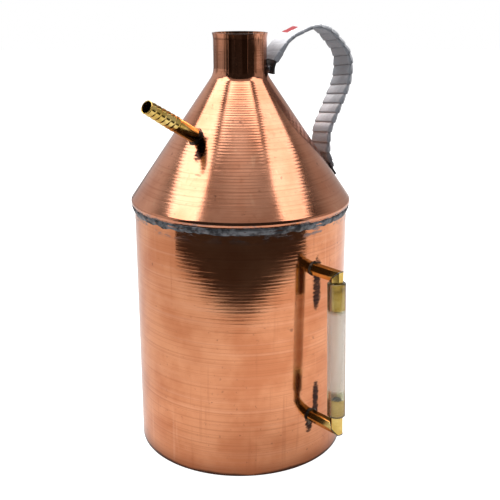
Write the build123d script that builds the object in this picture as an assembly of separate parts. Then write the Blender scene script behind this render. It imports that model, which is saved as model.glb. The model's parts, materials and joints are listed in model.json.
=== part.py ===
from build123d import *
import math
import os

# A copper laboratory steam boiler with a water gauge, a steam nozzle and a strap handle.
# Millimetres. The origin is the middle of the base, +Z is up, and the handle stands in
# the XZ plane on the +X side.

# Sheet metal
SHEET = 1.0                  # copper sheet, all three copper pieces
SLIP = 0.05                  # gap between pieces that slide into each other

# Cylinder and bottom
BODY_R = 57.5                # outside of the cylinder
BODY_TOP = 139.0             # upper edge of the cylinder, inside the cone's skirt
BOTTOM_FLANGE = 8.0          # height of the bottom plate's turned-up edge
BOTTOM_CORNER = 2.0          # outside bend radius of the bottom plate

# Cone and neck, spun in one piece
SKIRT_BOTTOM = 134.6
SKIRT_R = BODY_R + SLIP + SHEET
RIM_R = 2.2                  # rounding where the cone turns down into the skirt
RIM_MID = (57.0, 138.3)      # radius and height of that rounding's middle
CONE_HEAD = (16.5, 201.1)    # upper end of the cone's outside, radius and height
NECK_R = 14.0                # outside of the neck
NECK_TOP = 225.5
NECK_FILLET = 4.0
LIP_FLARE = 0.5              # how far the neck's mouth opens
LIP_HEIGHT = 2.5

# Steam nozzle
NOZZLE_AZIMUTH = 208.4       # degrees round from the handle
NOZZLE_HEIGHT = 175.8        # where the nozzle's axis meets the outside of the cone
NOZZLE_RISE = 29.0           # degrees above horizontal
NOZZLE_LENGTH = 37.5         # outside the cone
NOZZLE_INSIDE = 3.0          # inside the cone
NOZZLE_SHANK_R = 3.4
NOZZLE_BORE_R = 2.5
BARB_R = 3.65
BARB_ROOT_R = 3.2
BARB_LAND = 0.8
BARB_PITCH = 3.4
BARB_COUNT = 6

# Water gauge
GAUGE_AZIMUTH = -70.0        # degrees round from the handle
HEX_FLATS = 6.0              # hexagonal brass bar, across flats
WATERWAY_R = 2.0             # drilled passage in arms and spigots
TENON_R = 2.6                # turned end of each arm, through the cylinder wall
UPPER_ARM_Z = 111.5          # axis of the upper arm
LOWER_ARM_Z = 29.2           # axis of the lower arm
UPPER_REACH = 73.6           # radius at which each elbow turns
LOWER_REACH = 76.6
SPIGOT_R = 2.8
UPPER_SPIGOT_LENGTH = 17.8   # from the elbow's middle to the spigot's end
LOWER_SPIGOT_LENGTH = 16.8
LOWER_LEG_LENGTH = 7.0       # hexagonal part of the lower spigot, from the elbow's middle
TUBE_R = 4.7
TUBE_BORE_R = 2.6            # where nothing stretches it
STRETCH = SPIGOT_R + 0.02 - TUBE_BORE_R
TUBE_GAP = 0.2               # from the tube's ends to the hexagonal shoulders
ELBOW_SEAM = 0.25            # solder in each mitre
SEAM_PROUD = 0.15            # how far that solder stands out

# Handle
STRAP_WIDTH = 19.0
STRAP_THICK = 1.5
WRAP_WIDTH = 20.6
WRAP_THICK = 3.2
WRAP_SLIP = 0.02
STRAP_GAP = 0.05             # from the strap to the neck and to the cone

os.makedirs("parts", exist_ok=True)


def save(node, shape):
    shape.label = node
    export_step(shape, f"parts/{node}.step")


def turn(lines):
    """A solid of revolution about Z, from a closed outline in the XZ plane."""
    face = make_face(Plane.XZ * Curve(lines))
    return revolve(face, Axis.Z)


def outline(points):
    """A closed outline through points of radius and height."""
    return Polyline(*points, close=True).edges()


def about(azimuth, shape):
    return Rot(0, 0, azimuth) * shape


# The cone's outside is a straight line from its head that runs into the rim's rounding.
HEAD_TO_RIM = (RIM_MID[0] - CONE_HEAD[0], CONE_HEAD[1] - RIM_MID[1])
CONE_SLOPE = math.atan2(HEAD_TO_RIM[1], HEAD_TO_RIM[0]) - math.asin(RIM_R / math.hypot(*HEAD_TO_RIM))
CONE_FOOT = (RIM_MID[0] + RIM_R * math.sin(CONE_SLOPE), RIM_MID[1] + RIM_R * math.cos(CONE_SLOPE))


def cone_radius(height):
    """Outside radius of the cone at a height."""
    return CONE_HEAD[0] + (CONE_HEAD[1] - height) / math.tan(CONE_SLOPE)


# ---- copper work ----

def spun_outside():
    """The outside of the cone piece, from the skirt's lower edge to the mouth."""
    mid_r, mid_z = RIM_MID
    crease_z = mid_z - math.sqrt(RIM_R**2 - (SKIRT_R - mid_r) ** 2)
    skirt = Line((SKIRT_R, SKIRT_BOTTOM), (SKIRT_R, crease_z))
    rim = ThreePointArc(skirt @ 1, (mid_r + RIM_R, mid_z), CONE_FOOT)
    neck_foot = CONE_HEAD[1] + (CONE_HEAD[0] - NECK_R) * math.tan(CONE_SLOPE)
    rise = FilletPolyline(
        CONE_FOOT,
        (NECK_R, neck_foot),
        (NECK_R, NECK_TOP - LIP_HEIGHT),
        (NECK_R + LIP_FLARE, NECK_TOP),
        radius=[NECK_FILLET, 2 * NECK_FILLET],
    )
    return Wire(skirt.edges() + rim.edges() + rise.edges())


def cone_outer_solid(grow=0.0):
    """The space inside the cone's outside face, grown outwards by a margin."""
    wide = grow / math.sin(CONE_SLOPE)
    points = [
        (0, CONE_FOOT[1]),
        (CONE_FOOT[0] + wide, CONE_FOOT[1]),
        (CONE_HEAD[0] + wide, CONE_HEAD[1]),
        (0, CONE_HEAD[1]),
    ]
    return turn(outline(points))


def make_body_shell():
    points = [
        (BODY_R - SHEET, 0),
        (BODY_R, 0),
        (BODY_R, BODY_TOP),
        (BODY_R - SHEET, BODY_TOP),
    ]
    shell = turn(outline(points))
    shell = fillet(shell.edges().filter_by(GeomType.CIRCLE).group_by(Axis.Z)[0][-1:], 0.6)
    for height in (UPPER_ARM_Z, LOWER_ARM_Z):
        drill = Pos(BODY_R - SHEET / 2, 0, height) * Rot(0, 90, 0) * Cylinder(TENON_R + SLIP, 4 * SHEET)
        shell -= about(GAUGE_AZIMUTH, drill)
    return shell


def make_bottom_plate():
    outer = BODY_R - SHEET - SLIP
    points = [
        (0, 0),
        (outer, 0),
        (outer, BOTTOM_FLANGE),
        (outer - SHEET, BOTTOM_FLANGE),
        (outer - SHEET, SHEET),
        (0, SHEET),
    ]
    plate = turn(outline(points))
    outside_bend = [e for e in plate.edges().filter_by(GeomType.CIRCLE) if abs(e.center().Z) < 0.01]
    plate = fillet(outside_bend, BOTTOM_CORNER)
    inside_bend = [e for e in plate.edges().filter_by(GeomType.CIRCLE) if abs(e.center().Z - SHEET) < 0.01]
    return fillet(inside_bend, BOTTOM_CORNER - SHEET)


def make_cone_top():
    section = spun_outside().offset_2d(SHEET, side=Side.LEFT, closed=True)
    top = revolve(Plane.XZ * make_face(section.edges()), Axis.Z)
    top -= Pos(0, 0, NECK_TOP) * Cylinder(2 * NECK_R, 2, align=(Align.CENTER, Align.CENTER, Align.MIN))
    return top - place_nozzle(Cylinder(NOZZLE_SHANK_R + SLIP, 6 * SHEET))


def make_shoulder_solder():
    """Ring of solder under the cone's skirt, tapering down to a blunt edge."""
    inner = BODY_R + SLIP / 5
    low = SKIRT_BOTTOM - 2.8
    points = [(inner, low), (inner + 0.45, low), (SKIRT_R, SKIRT_BOTTOM), (inner, SKIRT_BOTTOM)]
    return turn(outline(points))


def make_bottom_solder(plate):
    """Ring of solder in the groove between the bottom plate's bend and the cylinder."""
    outer = BODY_R - SHEET - SLIP / 5
    inner = outer - 0.6 * BOTTOM_CORNER
    ring = turn(outline([(inner, 0.2), (outer, 0.2), (outer, 1.3), (inner, 1.3)]))
    return ring - plate


# ---- steam nozzle, built along Z and then leaned out of the cone ----

def place_nozzle(shape):
    base = Pos(cone_radius(NOZZLE_HEIGHT), 0, NOZZLE_HEIGHT)
    return about(NOZZLE_AZIMUTH, base * Rot(0, 90 - NOZZLE_RISE, 0) * shape)


def make_nozzle():
    mouth_rim = 0.6
    first_barb = NOZZLE_LENGTH - mouth_rim - BARB_COUNT * BARB_PITCH
    points = [(NOZZLE_BORE_R, -NOZZLE_INSIDE), (NOZZLE_SHANK_R, -NOZZLE_INSIDE)]
    points.append((NOZZLE_SHANK_R, first_barb))
    for number in range(BARB_COUNT):
        start = first_barb + number * BARB_PITCH
        points.append((BARB_R, start))
        points.append((BARB_R, start + BARB_LAND))
        points.append((BARB_ROOT_R, start + BARB_PITCH))
    points.append((BARB_ROOT_R, NOZZLE_LENGTH))
    points.append((NOZZLE_BORE_R, NOZZLE_LENGTH))
    return place_nozzle(turn(outline(points)))


def make_nozzle_solder():
    foot_r = NOZZLE_SHANK_R + 2.8
    head_r = NOZZLE_SHANK_R + 0.15
    head_z = 3.2
    floor_z = -1.6
    slope = ThreePointArc((foot_r, -0.4), (head_r + 0.7, 0.9), (head_r, head_z))
    rest = Polyline((head_r, head_z), (NOZZLE_SHANK_R, head_z), (NOZZLE_SHANK_R, floor_z),
                    (foot_r, floor_z), (foot_r, -0.4))
    collar = turn(slope.edges() + rest.edges())
    return place_nozzle(collar) - cone_outer_solid(SLIP)


# ---- water gauge, built in the XZ plane and then turned to its azimuth ----

UPPER_ELBOW = Vector(UPPER_REACH, 0, UPPER_ARM_Z)
LOWER_ELBOW = Vector(LOWER_REACH, 0, LOWER_ARM_Z)
DOWN_LEG = (LOWER_ELBOW - UPPER_ELBOW).normalized()
OUTWARD = Vector(1, 0, 0)
UPPER_LEG_LENGTH = HEX_FLATS / 2 + SLIP


def along(origin, direction):
    """A plane across a bar, with its local X along the row's Y."""
    return Plane(origin=origin, x_dir=(0, 1, 0), z_dir=direction)


def bar(origin, direction, length, grow=0.0):
    """Hexagonal bar with flats above and below, starting at origin."""
    section = RegularPolygon(HEX_FLATS / 2 + grow, 6, major_radius=False)
    return extrude(along(origin, direction) * section, length)


def rod(origin, direction, radius, length):
    return along(origin, direction) * Cylinder(radius, length, align=(Align.CENTER, Align.CENTER, Align.MIN))


def beyond(elbow, leg, distance):
    """Everything past a mitre plane moved by a distance towards the leg."""
    normal = (OUTWARD + leg).normalized()
    reach = 60
    corner = Plane(origin=elbow + normal * distance, z_dir=normal)
    return corner * Box(reach, reach, reach, align=(Align.CENTER, Align.CENTER, Align.MIN))


def make_arm(elbow, leg):
    wall = Vector(BODY_R, 0, elbow.Z)
    tenon_start = wall - OUTWARD * (SHEET + 1.5)
    arm = bar(wall, OUTWARD, elbow.X - BODY_R + HEX_FLATS)
    arm -= beyond(elbow, leg, -ELBOW_SEAM / 2)
    arm += rod(tenon_start, OUTWARD, TENON_R, wall.X - tenon_start.X)
    arm -= rod(tenon_start, OUTWARD, WATERWAY_R, elbow.X)
    return about(GAUGE_AZIMUTH, arm)


def make_spigot(elbow, leg, hex_length, length):
    back = elbow - leg * HEX_FLATS
    piece = bar(back, leg, HEX_FLATS + hex_length) & beyond(elbow, leg, ELBOW_SEAM / 2)
    piece += rod(elbow + leg * hex_length, leg, SPIGOT_R, length - hex_length)
    piece -= rod(back, leg, WATERWAY_R, HEX_FLATS + length + 1)
    return about(GAUGE_AZIMUTH, piece)


def make_elbow_solder(elbow, leg):
    film = bar(elbow - OUTWARD * HEX_FLATS, OUTWARD, 2 * HEX_FLATS, SEAM_PROUD)
    film &= beyond(elbow, leg, -ELBOW_SEAM / 2)
    film -= beyond(elbow, leg, ELBOW_SEAM / 2)
    film -= rod(elbow - OUTWARD * HEX_FLATS, OUTWARD, WATERWAY_R, 2 * HEX_FLATS)
    film -= rod(elbow - leg * HEX_FLATS, leg, WATERWAY_R, 2 * HEX_FLATS)
    return about(GAUGE_AZIMUTH, film)


def make_arm_solder(elbow):
    """Fillet of solder between an arm and the cylinder's wall."""
    foot_r = HEX_FLATS / 2 + 2.2
    head_r = HEX_FLATS / 2 + 0.6
    head = 2.6
    slope = ThreePointArc((foot_r, 0.3), (head_r + 0.4, 0.9), (head_r, head))
    rest = Polyline((head_r, head), (0, head), (0, -1), (foot_r, -1), (foot_r, 0.3))
    collar = along(Vector(BODY_R, 0, elbow.Z), OUTWARD) * turn(slope.edges() + rest.edges())
    collar -= bar(Vector(0, 0, elbow.Z), OUTWARD, elbow.X)
    collar -= Cylinder(BODY_R + SLIP / 5, BODY_TOP, align=(Align.CENTER, Align.CENTER, Align.MIN))
    return about(GAUGE_AZIMUTH, collar)


def make_gauge_tube():
    start = LOWER_LEG_LENGTH + TUBE_GAP
    length = (LOWER_ELBOW - UPPER_ELBOW).length - start - UPPER_LEG_LENGTH - TUBE_GAP
    lower_end = LOWER_SPIGOT_LENGTH - start + 0.2
    upper_end = length - (UPPER_SPIGOT_LENGTH - UPPER_LEG_LENGTH - TUBE_GAP) - 0.2
    ease = 2.5
    steps = [(0, STRETCH), (lower_end, STRETCH), (lower_end + ease, 0)]
    steps += [(upper_end - ease, 0), (upper_end, STRETCH), (length, STRETCH)]
    outside = [(TUBE_R + swell, height) for height, swell in steps]
    inside = [(TUBE_BORE_R + swell, height) for height, swell in reversed(steps)]
    tube = turn(outline(outside + inside))
    return about(GAUGE_AZIMUTH, along(LOWER_ELBOW - DOWN_LEG * start, -DOWN_LEG) * tube)


# ---- handle, in the XZ plane ----

STRAP_ON_NECK = NECK_R + 0.35 + STRAP_THICK / 2
CONE_OUT = Vector(math.sin(CONE_SLOPE), math.cos(CONE_SLOPE))


def beside_cone(height):
    """Where the strap's middle lies flat on the cone."""
    away = STRAP_THICK / 2 + STRAP_GAP
    return (cone_radius(height) + away * CONE_OUT.X, height + away * CONE_OUT.Y)


BENDS = [
    ((24.1, 222.6), 18),
    ((44.0, 231.0), 14),
    ((59.9, 213.3), 15),
    ((59.8, 199.4), 30),
    ((47.9, 172.6), 20),
    ((47.6, 160.5), 12),
]
NECK_BEND = ((STRAP_ON_NECK, 208.9), 8)
CONE_BEND = (beside_cone(151.0), 8)
STRAP_ENDS = ((STRAP_ON_NECK, 204.6), beside_cone(148.4))


def part_way(start, end, distance):
    """The point at a distance from start towards end."""
    share = distance / math.dist(start, end)
    return tuple(a + share * (b - a) for a, b in zip(start, end))


WRAP_UPPER_END = part_way(NECK_BEND[0], BENDS[0][0], 2.6)
WRAP_LOWER_END = part_way(BENDS[-1][0], CONE_BEND[0], 8.0)


def strap_line():
    bends = [NECK_BEND] + BENDS + [CONE_BEND]
    corners = [STRAP_ENDS[0]] + [corner for corner, _ in bends] + [STRAP_ENDS[1]]
    return FilletPolyline(*corners, radius=[radius for _, radius in bends])


def wrapped_line():
    corners = [WRAP_UPPER_END] + [corner for corner, _ in BENDS] + [WRAP_LOWER_END]
    return FilletPolyline(*corners, radius=[radius for _, radius in BENDS])


def band(line, thickness, width):
    """A flat band of even thickness that follows a line in the XZ plane."""
    wire = Wire(line.edges())
    half = thickness / 2
    section = make_face(wire.offset_2d(half, side=Side.LEFT).edges())
    section += make_face(wire.offset_2d(half, side=Side.RIGHT).edges())
    return extrude(Plane.XZ * section, width / 2, both=True)


def make_strap():
    return band(strap_line(), STRAP_THICK, STRAP_WIDTH)


def make_wrap():
    wrap = band(wrapped_line(), WRAP_THICK, WRAP_WIDTH)
    sides = [f.edges() for f in wrap.faces().filter_by(Axis.Y)]
    long_edges = [e for group in sides for e in group if e.length > WRAP_THICK + 0.1]
    wrap = fillet(long_edges, 1.0)
    inner = band(strap_line(), STRAP_THICK + 2 * WRAP_SLIP, STRAP_WIDTH + 2 * WRAP_SLIP)
    return wrap - inner - cone_outer_solid(SLIP)


def make_upper_handle_solder(strap, cone_top):
    """Solder in the wedges between the flat strap and the round neck."""
    height = 4.0
    block = Pos(NECK_R - 1, 0, STRAP_ENDS[0][1] + height / 2) * Box(3.2, 12.5, height)
    neck = Pos(0, 0, NECK_TOP) * Cylinder(NECK_R + SLIP / 5, 50)
    return block - neck - cone_top - strap


def make_lower_handle_solder(strap):
    top_z = 152.0
    low_z = 147.2
    points = [
        (cone_radius(top_z) - 2, top_z),
        beside_cone(top_z),
        beside_cone(low_z + 0.4),
        (cone_radius(low_z), low_z),
        (cone_radius(low_z) - 2, low_z),
    ]
    face = make_face(Plane.XZ * Curve(outline(points)))
    block = extrude(face, 7.2, both=True)
    return block - cone_outer_solid(SLIP / 5) - strap


body_shell = make_body_shell()
bottom_plate = make_bottom_plate()
cone_top = make_cone_top()
handle_strap = make_strap()

save("body_shell", body_shell)
save("bottom_plate", bottom_plate)
save("cone_top", cone_top)
save("shoulder_solder", make_shoulder_solder())
save("bottom_solder", make_bottom_solder(bottom_plate))
save("steam_nozzle", make_nozzle())
save("nozzle_solder", make_nozzle_solder())
save("upper_gauge_arm", make_arm(UPPER_ELBOW, DOWN_LEG))
save("lower_gauge_arm", make_arm(LOWER_ELBOW, -DOWN_LEG))
save("upper_gauge_spigot", make_spigot(UPPER_ELBOW, DOWN_LEG, UPPER_LEG_LENGTH, UPPER_SPIGOT_LENGTH))
save("lower_gauge_spigot", make_spigot(LOWER_ELBOW, -DOWN_LEG, LOWER_LEG_LENGTH, LOWER_SPIGOT_LENGTH))
save("upper_elbow_solder", make_elbow_solder(UPPER_ELBOW, DOWN_LEG))
save("lower_elbow_solder", make_elbow_solder(LOWER_ELBOW, -DOWN_LEG))
save("upper_arm_solder", make_arm_solder(UPPER_ELBOW))
save("lower_arm_solder", make_arm_solder(LOWER_ELBOW))
save("gauge_tube", make_gauge_tube())
save("handle_strap", handle_strap)
save("handle_wrap", make_wrap())
save("handle_upper_solder", make_upper_handle_solder(handle_strap, cone_top))
save("handle_lower_solder", make_lower_handle_solder(handle_strap))
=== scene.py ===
import json
import math

import bpy
import numpy as np
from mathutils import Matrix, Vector, noise


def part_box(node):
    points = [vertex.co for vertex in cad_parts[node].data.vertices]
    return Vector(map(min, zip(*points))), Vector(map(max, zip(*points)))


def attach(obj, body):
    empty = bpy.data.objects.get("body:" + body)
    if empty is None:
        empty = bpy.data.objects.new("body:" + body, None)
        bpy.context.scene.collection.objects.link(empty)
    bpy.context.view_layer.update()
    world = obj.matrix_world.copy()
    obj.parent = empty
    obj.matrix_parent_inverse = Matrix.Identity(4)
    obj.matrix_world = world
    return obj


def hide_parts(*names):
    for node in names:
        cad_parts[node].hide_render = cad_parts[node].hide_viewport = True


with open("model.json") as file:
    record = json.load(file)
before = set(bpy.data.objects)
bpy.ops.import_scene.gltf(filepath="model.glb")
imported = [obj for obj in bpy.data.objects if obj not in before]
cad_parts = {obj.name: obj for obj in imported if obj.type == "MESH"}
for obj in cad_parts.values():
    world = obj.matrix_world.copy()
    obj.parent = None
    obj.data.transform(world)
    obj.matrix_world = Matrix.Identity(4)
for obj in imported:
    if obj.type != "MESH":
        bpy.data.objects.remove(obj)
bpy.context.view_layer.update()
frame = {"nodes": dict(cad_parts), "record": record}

# Shapes are worked out in millimetres in the CAD's frame: the origin is the middle of the
# base, +Z is up and the handle stands on the +X side. Meshes are scaled to metres.
MM = 0.001

# ---- driving sizes ----

SHEET = 1.0


def box_mm(node):
    low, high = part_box(node)
    return np.array(low) / MM, np.array(high) / MM


def mount(name):
    found = [m for m in frame["record"]["mounts"] if m["name"] == name][0]
    return np.array(found["pos_m"]) / MM, np.array(found["axis"]), found["dims"]


BODY_R = box_mm("body_shell")[1][0]
BODY_TOP = box_mm("body_shell")[1][2]
SKIRT_BOTTOM = box_mm("cone_top")[0][2]
NECK_TOP = box_mm("cone_top")[1][2]
NECK_BORE = mount("neck")[2]["r_mm"]
NECK_R = NECK_BORE + SHEET
SKIRT_R = BODY_R + 1.05
RIM_R = 2.2
RIM_MID = np.array([57.0, 138.3])
CONE_HEAD = np.array([16.5, 201.1])
HEAD_TO_RIM = RIM_MID - CONE_HEAD
CONE_SLOPE = math.atan2(-HEAD_TO_RIM[1], HEAD_TO_RIM[0]) - math.asin(RIM_R / np.linalg.norm(HEAD_TO_RIM))
CONE_FOOT = RIM_MID + RIM_R * np.array([math.sin(CONE_SLOPE), math.cos(CONE_SLOPE)])
RING_PITCH = 1.8

GAUGE_AZIMUTH = math.radians(-70)
HEX_FLATS = 6.0
WATERWAY_R = 2.0
SPIGOT_R = 2.8
UPPER_REACH = 73.6
LOWER_REACH = 76.6
UPPER_SPIGOT_LENGTH = 17.8
LOWER_SPIGOT_LENGTH = 16.8
LOWER_LEG = 7.0
TUBE_R = 4.7
TUBE_CLEAR_BELOW = 49.5      # the tube is milky between these heights
TUBE_CLEAR_ABOVE = 94.5
TUBE_BORE_R = SPIGOT_R - 0.03

STRAP_WIDTH = 19.0
STRAP_THICK = 1.5
WRAP_WIDTH = 20.6
WRAP_THICK = 3.2
TAPE_PITCH = 5.5
PUFF = 0.65                  # how far a turn of tape stands above its creases

# Points round a ring of each kind of piece.
TURNED_POINTS = 192
SEAM_POINTS = 480
BAR_POINTS = 72
COLLAR_POINTS = 96

PHOTO_HEADING = math.radians(-20)    # the picture's viewing direction, turned from +Y
CAMERA_TURN = -0.0112        # the camera's own turn from that heading, in radians
CAMERA_DIP = 0.2992          # how far it looks down, in radians
CAMERA_BACK, CAMERA_UP = 0.4591, 0.2495    # in metres
CAMERA_LENS, CAMERA_SENSOR = 62.14, 36.0   # in millimetres


# ---- mesh tools ----

def grid_quads(rows, columns, wrap_rows):
    """Faces of a grid whose columns close into rings."""
    i, j = np.meshgrid(np.arange(rows if wrap_rows else rows - 1), np.arange(columns), indexing="ij")
    i_next, j_next = (i + 1) % rows, (j + 1) % columns
    quads = [i * columns + j, i * columns + j_next, i_next * columns + j_next, i_next * columns + j]
    return np.stack(quads, -1).reshape(-1, 4)


def signed_volume(points, quads):
    a, b, c, d = (points[quads[:, k]] for k in range(4))
    return (np.einsum("ij,ij->i", a, np.cross(b, c)) + np.einsum("ij,ij->i", a, np.cross(c, d))).sum()


def ring_piece(name, rings, material, wrap=False, sharp=40):
    """A closed piece from rings of points, shaped [ring, point, xyz], in millimetres.
    With wrap the last ring joins the first, otherwise both ends get a flat cap."""
    rows, columns = rings.shape[:2]
    points = rings.reshape(-1, 3)
    quads = grid_quads(rows, columns, wrap)
    flip = signed_volume(points - points.mean(0), quads) < 0
    faces = quads[:, ::-1].tolist() if flip else quads.tolist()
    if not wrap:
        first = list(range(columns))
        last = list(range((rows - 1) * columns, rows * columns))
        faces += [first[::-1], last] if not flip else [first, last[::-1]]
    mesh = bpy.data.meshes.new(name)
    mesh.from_pydata((points * MM).tolist(), [], faces)
    mesh.materials.append(material)
    mesh.shade_smooth()
    mesh.set_sharp_from_angle(angle=math.radians(sharp))
    piece = bpy.data.objects.new(name, mesh)
    bpy.context.scene.collection.objects.link(piece)
    return piece


def stand_for(piece, slot, *nodes):
    """Puts a piece on the one body, in the place of CAD nodes. The slot argument is not used."""
    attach(piece, "root")
    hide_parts(*nodes)


def rounded_path(corners, radii, step):
    """Evenly spaced points along straight runs joined by arcs, one radius for each inner corner."""
    corners = [np.array(c, float) for c in corners]
    points = [corners[0]]
    for before, corner, after, radius in zip(corners, corners[1:], corners[2:], radii):
        back = (before - corner) / np.linalg.norm(before - corner)
        ahead = (after - corner) / np.linalg.norm(after - corner)
        half = math.acos(np.clip(back @ ahead, -1, 1)) / 2
        middle = (back + ahead) / np.linalg.norm(back + ahead)
        centre = corner + middle * radius / math.sin(half)
        reach = radius / math.tan(half)
        start, end = corner + back * reach - centre, corner + ahead * reach - centre
        turn = math.pi - 2 * half
        for share in np.linspace(0, 1, 2 + int(turn * radius / step)):
            arc = (math.sin((1 - share) * turn) * start + math.sin(share * turn) * end) / math.sin(turn)
            points.append(centre + arc)
    points.append(corners[-1])
    return even(np.array(points), step)


def even(points, step):
    """Points at even distances along a line through the given ones."""
    lengths = np.r_[0, np.cumsum(np.linalg.norm(np.diff(points, axis=0), axis=1))]
    places = np.linspace(0, lengths[-1], max(2, int(round(lengths[-1] / step)) + 1))
    return np.stack([np.interp(places, lengths, points[:, k]) for k in range(points.shape[1])], 1)


def path_normals(path):
    """Unit normals to the left of a plane path."""
    run = np.gradient(path, axis=0)
    run /= np.linalg.norm(run, axis=1)[:, None]
    return np.stack([-run[:, 1], run[:, 0]], 1)


def angles(count):
    return np.arange(count) * 2 * math.pi / count


def around(profile, count, shift=None):
    """Rings of a profile of radius and height turned about Z, with a radial shift of (angle, profile)."""
    theta = angles(count)[None, :]
    radius = np.repeat(profile[:, :1], count, 1)
    if shift is not None:
        radius = radius + shift(theta, profile)
    height = np.repeat(profile[:, 1:2], count, 1)
    return np.stack([radius * np.cos(theta), radius * np.sin(theta), height], -1)


def placed(points, origin, u, v, w):
    """Moves points from local axes u, v, w at an origin into the frame."""
    return origin + points[..., :1] * u + points[..., 1:2] * v + points[..., 2:] * w


def lumps(points, size, seed):
    """Smooth noise in -1..1 at each point, for features of a size in millimetres."""
    flat = points.reshape(-1, 3) / size + seed
    values = [noise.noise(Vector(p)) for p in flat]
    return np.array(values).reshape(points.shape[:-1])


def smooth_step(x, low, high):
    t = np.clip((x - low) / (high - low), 0, 1)
    return t * t * (3 - 2 * t)


# ---- materials ----

NOWHERE = 9.0                # a height in metres above everything


def add(tree, kind, values=(), links=(), **settings):
    node = tree.nodes.new("ShaderNode" + kind)
    for key, value in settings.items():
        setattr(node, key, value)
    for key, value in dict(values).items():
        node.inputs[key].default_value = value
    for key, source in dict(links).items():
        tree.links.new(source, node.inputs[key])
    return node


def new_material(name, colour, **fixed):
    """A Principled material. Fixed values sit on the shader's own sockets."""
    material = bpy.data.materials.new(name)
    material.use_nodes = True
    tree = material.node_tree
    shader = tree.nodes["Principled BSDF"]
    shader.inputs["Base Color"].default_value = (*colour, 1)
    for key, value in fixed.items():
        shader.inputs[key.replace("_", " ")].default_value = value
    material.diffuse_color = (*colour, 1)
    return material, tree, shader


def place_of(tree):
    return add(tree, "TexCoord").outputs["Object"]


def stretched(tree, place, scale):
    return add(tree, "Mapping", {"Scale": scale}, {"Vector": place}).outputs["Vector"]


def noise_of(tree, vector, scale, detail=3, roughness=0.55):
    values = {"Scale": scale, "Detail": detail, "Roughness": roughness}
    return add(tree, "TexNoise", values, {"Vector": vector}).outputs["Fac"]


def ranged(tree, source, low, high, to_low=0.0, to_high=1.0, smooth=True):
    kind = "SMOOTHSTEP" if smooth else "LINEAR"
    values = {"From Min": low, "From Max": high, "To Min": to_low, "To Max": to_high}
    return add(tree, "MapRange", values, {"Value": source}, interpolation_type=kind).outputs["Result"]


def maths(tree, operation, a, b=None):
    node = add(tree, "Math", operation=operation)
    for index, value in enumerate((a, b)):
        if value is None:
            continue
        if isinstance(value, (int, float)):
            node.inputs[index].default_value = value
        else:
            tree.links.new(value, node.inputs[index])
    return node.outputs[0]


def times(tree, a, b):
    return maths(tree, "MULTIPLY", a, b)


def plus(tree, a, b):
    return maths(tree, "ADD", a, b)


def size_of(tree, value):
    return maths(tree, "ABSOLUTE", value)


def part_of(tree, vector, axis):
    return add(tree, "SeparateXYZ", links={"Vector": vector}).outputs[axis]


def away_from(tree, place, point):
    """The vector from a point to a place."""
    return add(tree, "VectorMath", {1: point}, {0: place}, operation="SUBTRACT").outputs["Vector"]


def along(tree, vector, direction):
    """How far a vector reaches in a direction."""
    return add(tree, "VectorMath", {1: direction}, {0: vector}, operation="DOT_PRODUCT").outputs["Value"]


def blended(tree, factor, a, b):
    """Colour a where the factor is 0, colour b where it is 1."""
    node = add(tree, "Mix", data_type="RGBA")
    for index, value in ((0, factor), (6, a), (7, b)):
        if isinstance(value, tuple):
            node.inputs[index].default_value = (*value, 1)
        elif isinstance(value, (int, float)):
            node.inputs[index].default_value = value
        else:
            tree.links.new(value, node.inputs[index])
    return node.outputs[2]


def bumped(tree, shader, height, distance, strength):
    bump = add(tree, "Bump", {"Distance": distance, "Strength": strength}, {"Height": height})
    tree.links.new(bump.outputs["Normal"], shader.inputs["Normal"])


def upright_streak(tree, place, azimuth, middle, half_width, half_height):
    """A mask for a tall dark streak on the cylinder, centred at an azimuth and a height, in millimetres."""
    beside = along(tree, place, (-math.sin(azimuth), math.cos(azimuth), 0))
    above = maths(tree, "SUBTRACT", part_of(tree, place, "Z"), middle * MM)
    wide = maths(tree, "POWER", size_of(tree, maths(tree, "DIVIDE", beside, half_width * MM)), 2.0)
    tall = maths(tree, "POWER", size_of(tree, maths(tree, "DIVIDE", above, half_height * MM)), 4.0)
    ragged = noise_of(tree, stretched(tree, place, (260, 260, 900)), 1.0, 5, 0.65)
    far = plus(tree, plus(tree, wide, tall), times(tree, ragged, 3.2))
    front = along(tree, place, (math.cos(azimuth), math.sin(azimuth), 0))
    return times(tree, ranged(tree, far, 2.0, 2.9, 1.0, 0.0), ranged(tree, front, 0.0, 0.01))


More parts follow.
